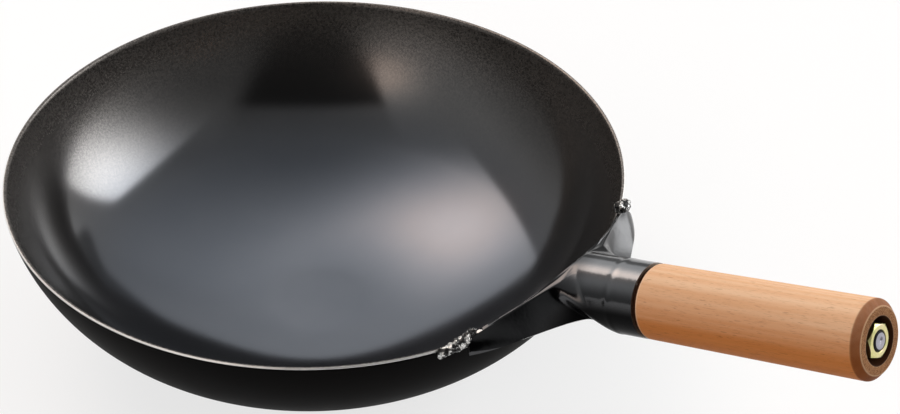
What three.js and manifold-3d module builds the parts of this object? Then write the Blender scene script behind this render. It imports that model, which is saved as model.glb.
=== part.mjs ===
// A round-bottomed iron frying pan: a pressed bowl, a sheet-steel socket welded to its rim, and a turned
// wooden handle that one long bolt draws into the socket. The origin is the middle of the flat base on
// the surface that the pan stands on, +X runs along the handle and +Z is up. Lengths are millimetres.
import * as THREE from 'three';
import { mergeVertices } from 'three/addons/utils/BufferGeometryUtils.js';
import Module from 'manifold-3d';

const wasm = await Module();
wasm.setup();

// Bowl: the bottom curves up from its flat to the knee, and the wall goes on from there in a tighter arc.
// The knee is placed as shares of the rim radius and the depth.
const RIM_RADIUS = 135;
const BOWL_DEPTH = 75;
const BASE_RADIUS = 38;
const FLOOR_RADIUS = 20;
const KNEE_REACH = 0.706;
const KNEE_HEIGHT = 0.268;
const KNEE_SLOPE = THREE.MathUtils.degToRad(30);
const BOWL_WALL = 1.6;

// Handle line: it starts on the rim and climbs. Places along it are measured from the rim.
const HANDLE_RISE = THREE.MathUtils.degToRad(16.5);

// Socket: a rolled tube whose underside seam opens towards the bowl, where the sheet splays into wings.
const SOCKET_RADIUS = 15.5;
const SHEET = 1.5;
const SOCKET_END = 43.8;
const SEAM_WIDTH = 1.2;
const TOP_FLARE_START = 16;
const SEAM_FLARE_START = 29;
const MOUTH_STANDOFF = 5;
const ARCH_CROWN_WIDTH = 8;
const ARCH_FOOT_WIDTH = 12;
const ARCH_FOOT_HEIGHT = 9.5;
const WING_HALF_SPAN = 57;
const WING_TIP_HEIGHT = 3;
const WING_TIP_DEPTH = 6;
const WING_CORNER_HEIGHT = 4.8;
const TIP_ROUND = 11;
const SEAM_BAND = 0.8;
const SEAM_SPREAD = 0.55;
const SEAM_LIFT = 0.6;
const TIP_PRESS = 0.35;
const TIP_DIP = 0.55;
const LEAVING_REACH = 0.27;
const ARRIVING_REACH = 0.45;

// Welds on the wing tips: a row of uneven drops along the rim, each weld as long as it was laid.
const WELD_DROPS = 7;
const WELD_DROP_RADIUS = 2.4;
const WELD_BEFORE_TIP = 5;
const NEAR_WELD_PAST_TIP = 8;
const FAR_WELD_PAST_TIP = 2;
const WELD_UNEVENNESS = 0.14;
const WELD_RHYTHM = 5;
const WELD_GAP = 0.45;

// Anchor disc in the straight part of the socket, and the bead that holds it there.
const ANCHOR_BEYOND_FLARE = 1.5;
const ANCHOR_THICKNESS = 3;
const BEAD_RADIUS = 1.4;
const BEAD_ARC = THREE.MathUtils.degToRad(180);

// Bolt, washer and nut, of an 8 mm thread.
const BOLT_RADIUS = 4;
const BOLT_PROUD = 0.4;
const BOLT_POINT = 0.7;
const THREAD_CLEARANCE = 0.05;
const HEX_ACROSS_FLATS = 13;
const HEAD_HEIGHT = 5.3;
const NUT_HEIGHT = 6.5;
const WASHER_RADIUS = 8;
const WASHER_THICKNESS = 1.6;

// Wooden handle: a tenon in the socket, a slightly swelling grip and a counterbore for the nut.
const SHOULDER_GAP = 1.8;
const SHOULDER_ROUND = 0.8;
const GRIP_LENGTH = 103.4;
const GRIP_START_RADIUS = 15.4;
const GRIP_END_RADIUS = 16;
const END_CHAMFER = 2.6;
const COUNTERBORE_ROOM = 1.6;

// Clearance between neighbours, and the fineness of round faces.
const GAP = 0.3;
const MERGE_DISTANCE = 1e-4;
const BOWL_SIDES = 96;
const BOTTOM_STEPS = 6;
const WALL_STEPS = 8;
const ROUND_SIDES = 40;
const TUBE_STEPS = 2;
const FLARE_STEPS = 14;
const SOCKET_HALF_STEPS = 24;
const DROP_SIDES = 10;
const DROP_BANDS = 7;
const BEAD_STEPS = 24;
const BEAD_SIDES = 4;

const BLUED_IRON = { color: 0x1b1c20, roughness: 0.35, metalness: 0.6 };
const BLACK_SHEET = { color: 0x202226, roughness: 0.3, metalness: 0.7 };
const WELD_STEEL = { color: 0x8f8f8c, roughness: 0.5, metalness: 0.9 };
const BARE_STEEL = { color: 0x8a8c92, roughness: 0.35, metalness: 0.95 };
const YELLOW_ZINC = { color: 0xc2b25a, roughness: 0.3, metalness: 0.9 };
const BEECH = { color: 0xc48a58, roughness: 0.6, metalness: 0 };

function toSolid(geometry) {
  const bare = geometry.clone();
  bare.deleteAttribute('normal');
  bare.deleteAttribute('uv');
  const merged = mergeVertices(bare, MERGE_DISTANCE);
  const vertProperties = new Float32Array(merged.attributes.position.array);
  const triVerts = new Uint32Array(merged.index.array);
  return new wasm.Manifold(new wasm.Mesh({ numProp: 3, vertProperties, triVerts }));
}

function toGeometry(solid) {
  const { vertProperties, triVerts } = solid.getMesh();
  const geometry = new THREE.BufferGeometry();
  geometry.setAttribute('position', new THREE.BufferAttribute(vertProperties, 3));
  geometry.setIndex(new THREE.BufferAttribute(triVerts, 1));
  geometry.computeVertexNormals();
  return geometry;
}

function piece(name, geometry, finish) {
  const mesh = new THREE.Mesh(geometry, new THREE.MeshStandardMaterial(finish));
  mesh.name = name;
  return mesh;
}

// The space a piece takes with some room on every side, as the piece moved each way in turn.
function roomRound(geometry) {
  const ways = [[1, 0, 0], [-1, 0, 0], [0, 1, 0], [0, -1, 0], [0, 0, 1], [0, 0, -1]];
  const moved = ways.map((way) => {
    const shift = new THREE.Vector3(...way).multiplyScalar(WELD_GAP);
    return toSolid(geometry.clone().translate(shift.x, shift.y, shift.z));
  });
  return moved.reduce((space, solid) => space.add(solid));
}

// A solid turned about Z, from a profile of [radius, height] points that runs up its outside.
function turned(profile, sides = ROUND_SIDES) {
  const points = profile.map(([radius, height]) => new THREE.Vector2(radius, height));
  return new THREE.LatheGeometry(points, sides).rotateX(Math.PI / 2);
}

// The same about X, for the pieces on the handle line, with heights as places along it.
function turnedOnHandle(profile) {
  return turned(profile).rotateY(Math.PI / 2);
}

// A ring on the handle line.
function ringOnHandle(innerRadius, outerRadius, start, end) {
  return turnedOnHandle([
    [innerRadius, start],
    [outerRadius, start],
    [outerRadius, end],
    [innerRadius, end],
    [innerRadius, start],
  ]);
}

// Bowl: each face is one arc down from the knee to its flat and one up to the level rim. The flat that is
// ground on the underside is wider than the one inside, so the sheet is a little thicker round it.
function arcFromKnee(knee, end, steps) {
  const chordSlope = Math.atan2(end[1] - knee[1], end[0] - knee[0]);
  const chordTurn = end[0] < knee[0] ? chordSlope + Math.PI : chordSlope;
  const endSlope = 2 * chordTurn - KNEE_SLOPE;
  const radius = (end[0] - knee[0]) / (Math.sin(endSlope) - Math.sin(KNEE_SLOPE));
  return Array.from({ length: steps }, (_, i) => {
    const slope = THREE.MathUtils.lerp(KNEE_SLOPE, endSlope, (i + 1) / steps);
    return [
      knee[0] + radius * (Math.sin(slope) - Math.sin(KNEE_SLOPE)),
      knee[1] + radius * (Math.cos(KNEE_SLOPE) - Math.cos(slope)),
    ];
  });
}

function bowlGeometry() {
  const knee = [KNEE_REACH * RIM_RADIUS, KNEE_HEIGHT * BOWL_DEPTH];
  const innerKnee = [
    knee[0] - BOWL_WALL * Math.sin(KNEE_SLOPE),
    knee[1] + BOWL_WALL * Math.cos(KNEE_SLOPE),
  ];
  const face = (middle, flatRadius, faceKnee, rimRadius) => [
    middle,
    ...arcFromKnee(faceKnee, [flatRadius, middle[1]], BOTTOM_STEPS).reverse(),
    faceKnee,
    ...arcFromKnee(faceKnee, [rimRadius, BOWL_DEPTH], WALL_STEPS),
  ];
  const outside = face([0, 0], BASE_RADIUS, knee, RIM_RADIUS);
  const inside = face([0, BOWL_WALL], FLOOR_RADIUS, innerKnee, RIM_RADIUS - BOWL_WALL);
  return turned([...outside, ...inside.reverse()], BOWL_SIDES);
}

// Socket. Its points are measured from the rim under the handle: share runs from 0 on top to 1 on the
// seam and the wing tip, side is -1 or 1, and along runs from the open end of the tube to the bowl.
const tubeMiddle = SOCKET_RADIUS - SHEET / 2;
const axis = new THREE.Vector3(Math.cos(HANDLE_RISE), 0, Math.sin(HANDLE_RISE));
const axisUp = new THREE.Vector3(-Math.sin(HANDLE_RISE), 0, Math.cos(HANDLE_RISE));
const acrossHandle = new THREE.Vector3(0, 1, 0);
const upward = new THREE.Vector3(0, 0, 1);
const archTop = (tubeMiddle + MOUTH_STANDOFF * Math.sin(HANDLE_RISE)) / Math.cos(HANDLE_RISE);
const cornerStart = new THREE.Vector2(WING_HALF_SPAN - TIP_ROUND, WING_CORNER_HEIGHT);
const mouthEdge = new THREE.CurvePath();
mouthEdge.add(new THREE.CubicBezierCurve(
  new THREE.Vector2(0, archTop),
  new THREE.Vector2(ARCH_CROWN_WIDTH, archTop),
  new THREE.Vector2(ARCH_FOOT_WIDTH, ARCH_FOOT_HEIGHT),
  cornerStart,
));
mouthEdge.add(new THREE.QuadraticBezierCurve(
  cornerStart,
  new THREE.Vector2(WING_HALF_SPAN, WING_TIP_HEIGHT),
  new THREE.Vector2(WING_HALF_SPAN, WING_TIP_HEIGHT - WING_TIP_DEPTH),
));

function tubePoint(share, side, place) {
  const seamHalfAngle = SEAM_WIDTH / 2 / tubeMiddle;
  const turn = side * share * (Math.PI - seamHalfAngle);
  return axis.clone().multiplyScalar(place)
    .addScaledVector(axisUp, tubeMiddle * Math.cos(turn))
    .addScaledVector(acrossHandle, tubeMiddle * Math.sin(turn));
}

// The edge that faces the bowl: it lies along the rim, lifts and stands off where it arches, and turns
// down round the end of each tip.
function mouthPoint(share, side) {
  const edge = mouthEdge.getPoint(share);
  const lift = Math.max(0, (edge.y - WING_TIP_HEIGHT) / (archTop - WING_TIP_HEIGHT));
  const edgeRadius = RIM_RADIUS + GAP + SHEET / 2;
  const x = Math.sqrt(edgeRadius ** 2 - edge.x ** 2) - RIM_RADIUS + lift * lift * MOUTH_STANDOFF;
  return new THREE.Vector3(x, side * edge.x, edge.y);
}

// From tube to mouth the sheet follows a curve that leaves along the handle line. Near the seam it leaves
// upwards and sideways instead, and it comes down on the tips from outside.
function socketPoint(share, side, along) {
  const ease = THREE.MathUtils.smoothstep(share, 0, SEAM_BAND);
  const flareStart = THREE.MathUtils.lerp(TOP_FLARE_START, SEAM_FLARE_START, ease);
  const tubeShare = TUBE_STEPS / (TUBE_STEPS + FLARE_STEPS);
  if (along < tubeShare) {
    return tubePoint(share, side, THREE.MathUtils.lerp(SOCKET_END, flareStart, along / tubeShare));
  }
  const start = tubePoint(share, side, flareStart);
  const end = mouthPoint(share, side);
  const run = start.distanceTo(end);
  const towardsBowl = axis.clone().negate();
  const seamWay = new THREE.Vector3(-1, side * SEAM_SPREAD, SEAM_LIFT);
  const tipTurn = side * Math.asin(WING_HALF_SPAN / RIM_RADIUS);
  const tipWay = new THREE.Vector3(-TIP_PRESS, side, -TIP_DIP).applyAxisAngle(upward, tipTurn);
  const leaving = towardsBowl.clone().lerp(seamWay, ease).normalize();
  const arriving = towardsBowl.clone().lerp(tipWay, ease).normalize();
  const flare = new THREE.CubicBezierCurve3(
    start,
    start.clone().addScaledVector(leaving, run * LEAVING_REACH),
    end.clone().addScaledVector(arriving, -run * ARRIVING_REACH),
    end,
  );
  return flare.getPoint((along - tubeShare) / (1 - tubeShare));
}

// A closed sheet of the given thickness, half on each side of a grid of points.
function sheetGeometry(pointAt, columns, rows, thickness) {
  const step = 1e-3;
  const positions = [];
  for (const half of [thickness / 2, -thickness / 2]) {
    for (let i = 0; i <= columns; i += 1) {
      for (let j = 0; j <= rows; j += 1) {
        const u = i / columns;
        const v = j / rows;
        const acrossSheet = pointAt(Math.min(u + step, 1), v).sub(pointAt(Math.max(u - step, 0), v));
        const alongSheet = pointAt(u, Math.min(v + step, 1)).sub(pointAt(u, Math.max(v - step, 0)));
        const normal = alongSheet.cross(acrossSheet).normalize();
        positions.push(...pointAt(u, v).addScaledVector(normal, half).toArray());
      }
    }
  }
  const back = (columns + 1) * (rows + 1);
  const at = (i, j) => i * (rows + 1) + j;
  const index = [];
  const quad = (a, b, c, d) => index.push(a, b, c, a, c, d);
  for (let i = 0; i < columns; i += 1) {
    for (let j = 0; j < rows; j += 1) {
      quad(at(i, j), at(i, j + 1), at(i + 1, j + 1), at(i + 1, j));
      quad(back + at(i, j), back + at(i + 1, j), back + at(i + 1, j + 1), back + at(i, j + 1));
    }
  }
  for (let i = 0; i < columns; i += 1) {
    quad(at(i, 0), at(i + 1, 0), back + at(i + 1, 0), back + at(i, 0));
    quad(at(i, rows), back + at(i, rows), back + at(i + 1, rows), at(i + 1, rows));
  }
  for (let j = 0; j < rows; j += 1) {
    quad(at(0, j), back + at(0, j), back + at(0, j + 1), at(0, j + 1));
    quad(at(columns, j), at(columns, j + 1), back + at(columns, j + 1), back + at(columns, j));
  }
  const geometry = new THREE.BufferGeometry();
  geometry.setAttribute('position', new THREE.Float32BufferAttribute(positions, 3));
  geometry.setIndex(index);
  geometry.computeVertexNormals();
  return geometry;
}

function socketGeometry() {
  const pointAt = (u, v) => socketPoint(Math.abs(2 * u - 1), u < 0.5 ? -1 : 1, v);
  const sheet = sheetGeometry(pointAt, 2 * SOCKET_HALF_STEPS, TUBE_STEPS + FLARE_STEPS, SHEET);
  return sheet.translate(RIM_RADIUS, 0, BOWL_DEPTH);
}

// Weld over one wing tip: drops of uneven size that run from the top of the wing down to the rim past its
// tip. They are fused, then fitted round the rim and the wing.
function weldGeometry(side, pastTip) {
  const tipTurn = Math.asin(WING_HALF_SPAN / RIM_RADIUS);
  const over = (distance, outside, height) => {
    const turn = side * (tipTurn + distance / RIM_RADIUS);
    const radius = RIM_RADIUS + outside;
    return new THREE.Vector3(radius * Math.cos(turn), radius * Math.sin(turn), BOWL_DEPTH + height);
  };
  const run = new THREE.CatmullRomCurve3([
    over(-WELD_BEFORE_TIP, SHEET / 2, WING_TIP_HEIGHT + WELD_DROP_RADIUS / 2),
    over(0, SHEET, WING_TIP_HEIGHT - WELD_DROP_RADIUS / 2),
    over(pastTip, SHEET / 2, -WELD_DROP_RADIUS / 2),
  ]);
  const drops = Array.from({ length: WELD_DROPS }, (_, i) => {
    const swell = 1 + WELD_UNEVENNESS * Math.sin(WELD_RHYTHM * i + side);
    const drop = new THREE.SphereGeometry(WELD_DROP_RADIUS * swell, DROP_SIDES, DROP_BANDS);
    const { x, y, z } = run.getPointAt(i / (WELD_DROPS - 1));
    return toSolid(drop.translate(x, y, z));
  });
  const bead = drops.reduce((fused, drop) => fused.add(drop));
  const room = roomRound(bowlGeometry()).add(roomRound(socketGeometry()));
  return toGeometry(bead.subtract(room));
}

// Anchor disc and its bead, on the handle line. The disc and the tenon both fill the bore of the socket.
const boreRadius = SOCKET_RADIUS - SHEET - GAP;
const anchorStart = SEAM_FLARE_START + ANCHOR_BEYOND_FLARE;
const anchorFront = anchorStart + ANCHOR_THICKNESS;
const holeRadius = BOLT_RADIUS + GAP;

function anchorBeadGeometry() {
  const middle = boreRadius - BEAD_RADIUS;
  const section = new THREE.Shape().absarc(0, 0, BEAD_RADIUS, 0, 2 * Math.PI);
  const path = new THREE.CatmullRomCurve3(Array.from({ length: BEAD_STEPS + 1 }, (_, i) => {
    const turn = BEAD_ARC * (i / BEAD_STEPS - 0.5);
    return new THREE.Vector3(0, middle * Math.sin(turn), middle * Math.cos(turn));
  }));
  const bead = new THREE.ExtrudeGeometry(section, {
    steps: BEAD_STEPS,
    curveSegments: BEAD_SIDES,
    extrudePath: path,
  });
  return bead.translate(anchorStart - GAP - BEAD_RADIUS, 0, 0);
}

// A hexagon prism on the handle line with both rims of its corners turned off.
function hexGeometry(start, height) {
  const corner = HEX_ACROSS_FLATS / Math.sqrt(3);
  const flat = HEX_ACROSS_FLATS / 2;
  const slope = (corner - flat) / Math.sqrt(3);
  const end = start + height;
  const prism = new THREE.CylinderGeometry(corner, corner, height, 6).rotateZ(-Math.PI / 2);
  prism.translate(start + height / 2, 0, 0);
  const barrel = turnedOnHandle([
    [0, start], [flat, start], [corner, start + slope], [corner, end - slope], [flat, end], [0, end],
  ]);
  return toSolid(prism).intersect(toSolid(barrel));
}

const shoulder = SOCKET_END + SHOULDER_GAP;
const gripEnd = shoulder + GRIP_LENGTH;
const nutStart = gripEnd - NUT_HEIGHT;
const washerEnd = nutStart - GAP;
const washerStart = washerEnd - WASHER_THICKNESS;
const counterboreFloor = washerStart - GAP;
const counterboreRadius = WASHER_RADIUS + COUNTERBORE_ROOM;

function boltGeometry() {
  const headEnd = anchorStart - GAP;
  const boltEnd = gripEnd + BOLT_PROUD;
  const shank = turnedOnHandle([
    [0, headEnd - HEAD_HEIGHT / 2], [BOLT_RADIUS, headEnd - HEAD_HEIGHT / 2],
    [BOLT_RADIUS, boltEnd - BOLT_POINT], [BOLT_RADIUS - BOLT_POINT, boltEnd], [0, boltEnd],
  ]);
  return toGeometry(hexGeometry(headEnd - HEAD_HEIGHT, HEAD_HEIGHT).add(toSolid(shank)));
}

function nutGeometry() {
  const hole = turnedOnHandle([
    [0, nutStart - GAP], [BOLT_RADIUS + THREAD_CLEARANCE, nutStart - GAP],
    [BOLT_RADIUS + THREAD_CLEARANCE, gripEnd + GAP], [0, gripEnd + GAP],
  ]);
  return toGeometry(hexGeometry(nutStart, NUT_HEIGHT).subtract(toSolid(hole)));
}

function gripGeometry() {
  const tenonStart = anchorFront + GAP;
  return turnedOnHandle([
    [holeRadius, tenonStart],
    [boreRadius, tenonStart],
    [boreRadius, shoulder],
    [GRIP_START_RADIUS - SHOULDER_ROUND, shoulder],
    [GRIP_START_RADIUS, shoulder + SHOULDER_ROUND],
    [GRIP_END_RADIUS, gripEnd - END_CHAMFER],
    [GRIP_END_RADIUS - END_CHAMFER, gripEnd],
    [counterboreRadius, gripEnd],
    [counterboreRadius, counterboreFloor],
    [holeRadius, counterboreFloor],
    [holeRadius, tenonStart],
  ]);
}

// Assembly: the bowl, socket and welds stand in the pan's frame, the rest is strung on the handle line.
const handleLine = new THREE.Group();
handleLine.position.set(RIM_RADIUS, 0, BOWL_DEPTH);
handleLine.rotation.y = -HANDLE_RISE;
handleLine.add(
  piece('anchor_disc', ringOnHandle(holeRadius, boreRadius, anchorStart, anchorFront), BARE_STEEL),
  piece('anchor_weld', anchorBeadGeometry(), WELD_STEEL),
  piece('tie_bolt', boltGeometry(), BARE_STEEL),
  piece('wooden_handle', gripGeometry(), BEECH),
  piece('washer', ringOnHandle(holeRadius, WASHER_RADIUS, washerStart, washerEnd), BARE_STEEL),
  piece('hex_nut', nutGeometry(), YELLOW_ZINC),
);

const pan = new THREE.Group();
pan.add(
  piece('pan_bowl', bowlGeometry(), BLUED_IRON),
  piece('handle_socket', socketGeometry(), BLACK_SHEET),
  piece('near_weld', weldGeometry(-1, NEAR_WELD_PAST_TIP), WELD_STEEL),
  piece('far_weld', weldGeometry(1, FAR_WELD_PAST_TIP), WELD_STEEL),
  handleLine,
);

export default pan;
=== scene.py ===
import math

import bmesh
import bpy
import numpy as np
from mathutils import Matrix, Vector, noise


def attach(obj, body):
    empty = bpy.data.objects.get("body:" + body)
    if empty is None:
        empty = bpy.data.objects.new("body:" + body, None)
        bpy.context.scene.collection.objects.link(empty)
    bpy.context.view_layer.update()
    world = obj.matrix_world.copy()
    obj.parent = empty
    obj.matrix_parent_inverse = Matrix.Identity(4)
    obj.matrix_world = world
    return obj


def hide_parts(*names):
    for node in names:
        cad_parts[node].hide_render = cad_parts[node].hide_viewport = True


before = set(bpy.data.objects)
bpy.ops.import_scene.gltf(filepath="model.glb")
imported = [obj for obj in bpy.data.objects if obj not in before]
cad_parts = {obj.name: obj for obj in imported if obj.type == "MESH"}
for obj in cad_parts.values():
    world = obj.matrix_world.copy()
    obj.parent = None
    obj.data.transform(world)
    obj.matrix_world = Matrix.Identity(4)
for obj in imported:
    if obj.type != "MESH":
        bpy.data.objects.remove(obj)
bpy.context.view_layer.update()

# Bowl: one disc of sheet iron pressed round and blued. The bottom curves up from a small ground flat to the knee,
# and the wall goes on from there in a tighter arc. The inside is polished, the outside is left fire-black, and the
# rim is ground bare, so that it shows as a bright line.
RIM_RADIUS = 0.135
BOWL_DEPTH = 0.075
BASE_RADIUS = 0.038
FLOOR_RADIUS = 0.020
KNEE_REACH = 0.706
KNEE_HEIGHT = 0.268
KNEE_SLOPE = math.radians(30)
BOWL_WALL = 0.0016
RIM_BEVEL = 0.0006
RIM_BEVEL_WIDTH = 0.00045
RIM_ROUNDING = 0.0004
WALL_TONE = (0.014, 0.042)
GRAINED_BAND = (0.036, 0.072)


class Value:
    """What one output of a node gives. Arithmetic on it adds Math nodes to its tree."""

    def __init__(self, tree, socket):
        self.tree = tree
        self.socket = socket

    def __add__(self, other):
        return self.tree.maths("ADD", self, other)

    def __radd__(self, other):
        return self.tree.maths("ADD", other, self)

    def __sub__(self, other):
        return self.tree.maths("SUBTRACT", self, other)

    def __rsub__(self, other):
        return self.tree.maths("SUBTRACT", other, self)

    def __mul__(self, other):
        return self.tree.maths("MULTIPLY", self, other)

    def __rmul__(self, other):
        return self.tree.maths("MULTIPLY", other, self)

    def __truediv__(self, other):
        return self.tree.maths("DIVIDE", self, other)

    def __rtruediv__(self, other):
        return self.tree.maths("DIVIDE", other, self)

    def __pow__(self, other):
        return self.tree.maths("POWER", self, other)

    def __rpow__(self, other):
        return self.tree.maths("POWER", other, self)


class Nodes:
    """A node tree that is built by calls. Settings are set before the sockets, which take values or links."""

    def __init__(self, tree):
        self.tree = tree

    def add(self, kind, settings=None, sockets=None, output=0):
        node = self.tree.nodes.new(kind)
        for name, setting in (settings or {}).items():
            if name == "stops":
                self.set_stops(node.color_ramp, setting)
            else:
                setattr(node, name, setting)
        for name, value in (sockets or {}).items():
            if isinstance(value, Value):
                self.tree.links.new(value.socket, node.inputs[name])
            else:
                node.inputs[name].default_value = value
        if isinstance(output, tuple):
            return [Value(self, node.outputs[name]) for name in output]
        return Value(self, node.outputs[output])

    def set_stops(self, ramp, stops):
        while len(ramp.elements) < len(stops):
            ramp.elements.new(1)
        for element, (position, colour) in zip(ramp.elements, stops):
            element.position = position
            element.color = (*colour, 1)

    def maths(self, operation, *values):
        return self.add("ShaderNodeMath", {"operation": operation}, dict(enumerate(values)))

    def sin(self, value):
        return self.maths("SINE", value)

    def cos(self, value):
        return self.maths("COSINE", value)

    def within(self, value, low=0.0, high=1.0):
        return self.maths("MINIMUM", self.maths("MAXIMUM", value, low), high)

    def rise(self, value, low, high):
        sockets = {"Value": value, "From Min": low, "From Max": high}
        return self.add("ShaderNodeMapRange", {"interpolation_type": "SMOOTHSTEP"}, sockets)

    def parts(self, vector):
        return self.add("ShaderNodeSeparateXYZ", sockets={0: vector}, output=("X", "Y", "Z"))

    def joined(self, x, y, z):
        return self.add("ShaderNodeCombineXYZ", sockets={0: x, 1: y, 2: z})

    def noise(self, place, scale, detail=2.0, roughness=0.5):
        sockets = {"Vector": place, "Scale": scale, "Detail": detail, "Roughness": roughness}
        return self.add("ShaderNodeTexNoise", sockets=sockets)

    def mixed(self, share, first, second):
        colours = [colour if isinstance(colour, Value) else (*colour, 1) for colour in (first, second)]
        return self.add("ShaderNodeMix", {"data_type": "RGBA"}, {0: share, 6: colours[0], 7: colours[1]}, 2)


class Finish(Nodes):
    """A material with one shader. Sockets that are the same all over are set on it, others are varied by nodes."""

    def __init__(self, name, **sockets):
        self.material = bpy.data.materials.new(name)
        self.material.use_nodes = True
        super().__init__(self.material.node_tree)
        self.shader = self.tree.nodes["Principled BSDF"]
        for socket, value in sockets.items():
            self.shader.inputs[socket.replace("_", " ")].default_value = value
        self.place = self.add("ShaderNodeTexCoord", output="Object")

    def vary(self, socket, value):
        self.tree.links.new(value.socket, self.shader.inputs[socket])

    def raise_by(self, height, distance, strength=1.0):
        sockets = {"Height": height, "Distance": distance, "Strength": strength}
        self.vary("Normal", self.add("ShaderNodeBump", sockets=sockets))


class Shape(Nodes):
    """A Geometry Nodes tree whose sizes are named inputs."""

    def __init__(self, name, sizes):
        super().__init__(bpy.data.node_groups.new(name, "GeometryNodeTree"))
        self.given = sizes
        self.tree.interface.new_socket("Mesh", in_out="OUTPUT", socket_type="NodeSocketGeometry")
        self.tree.interface.new_socket("Start", in_out="INPUT", socket_type="NodeSocketGeometry")
        kinds = {int: "NodeSocketInt", float: "NodeSocketFloat", Vector: "NodeSocketVector"}
        for label, size in sizes.items():
            self.tree.interface.new_socket(label, in_out="INPUT", socket_type=kinds[type(size)])
        inputs = self.tree.nodes.new("NodeGroupInput").outputs
        self.start = Value(self, inputs["Start"])
        self.size = {label: Value(self, inputs[label]) for label in sizes}

    def dressed(self, geometry, *finishes):
        """The realized geometry with its finishes, each a material and where it goes."""
        geometry = self.add("GeometryNodeRealizeInstances", sockets={"Geometry": geometry})
        for finish, where in finishes:
            sockets = {"Geometry": geometry, "Material": finish.material}
            if where is not None:
                sockets["Selection"] = where
            geometry = self.add("GeometryNodeSetMaterial", sockets=sockets)
        return geometry

    def make(self, name, geometry, start=None):
        """An object that holds the tree's result as a plain mesh."""
        output = self.tree.nodes.new("NodeGroupOutput")
        self.tree.links.new(geometry.socket, output.inputs["Mesh"])
        thing = bpy.data.objects.new(name, start or bpy.data.meshes.new(name))
        bpy.context.collection.objects.link(thing)
        modifier = thing.modifiers.new(name, "NODES")
        modifier.node_group = self.tree
        for item in self.tree.interface.items_tree:
            if item.in_out == "INPUT" and item.name in self.given:
                modifier[item.identifier] = self.given[item.name]
        evaluated = thing.evaluated_get(bpy.context.evaluated_depsgraph_get())
        mesh = bpy.data.meshes.new_from_object(evaluated)
        thing.modifiers.remove(modifier)
        thing.data = mesh
        return thing


def blued_inside():
    iron = Finish("blued_inside")
    height = iron.parts(iron.place)[2]
    above_knee = iron.rise(height, *WALL_TONE)
    near_rim = iron.rise(height, *GRAINED_BAND)
    cloud = iron.noise(iron.place, 26, 4, 0.6)
    grain = iron.rise(iron.noise(iron.place, 1000, 3, 0.7), 0.34, 0.66)
    bottom = iron.mixed(cloud, (0.078, 0.087, 0.103), (0.097, 0.105, 0.120))
    wall = iron.mixed(cloud, (0.103, 0.104, 0.106), (0.121, 0.121, 0.122))
    speckle = iron.mixed(grain, (0.058, 0.051, 0.046), (0.160, 0.145, 0.132))
    colour = iron.mixed(above_knee, bottom, wall)
    iron.vary("Base Color", iron.mixed(0.16 * above_knee + 0.74 * near_rim, colour, speckle))
    iron.vary("Metallic", 0.91 - 0.16 * near_rim)
    iron.vary("Roughness", 0.09 + cloud * 0.05 + near_rim * (0.12 + 0.08 * grain))
    iron.raise_by(grain * (0.06 + near_rim), 0.00002)
    return iron


def fired_outside():
    iron = Finish("fired_outside", IOR=1.06)
    cloud = iron.noise(iron.place, 40, 4, 0.6)
    grain = iron.noise(iron.place, 1100, 2, 0.6)
    iron.vary("Base Color", iron.mixed(cloud, (0.0028, 0.0027, 0.0029), (0.0070, 0.0064, 0.0060)))
    iron.vary("Roughness", 0.42 + cloud * 0.16)
    iron.raise_by(grain, 0.00004)
    return iron


def ground_rim():
    iron = Finish("ground_rim", Metallic=1.0)
    marks = iron.noise(iron.place, 1500, 2, 0.7)
    worn = iron.noise(iron.place, 60, 3, 0.6)
    iron.vary("Base Color", iron.mixed(worn, (0.72, 0.70, 0.68), (0.96, 0.95, 0.93)))
    iron.vary("Roughness", 0.30 + marks * 0.18)
    return iron


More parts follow.
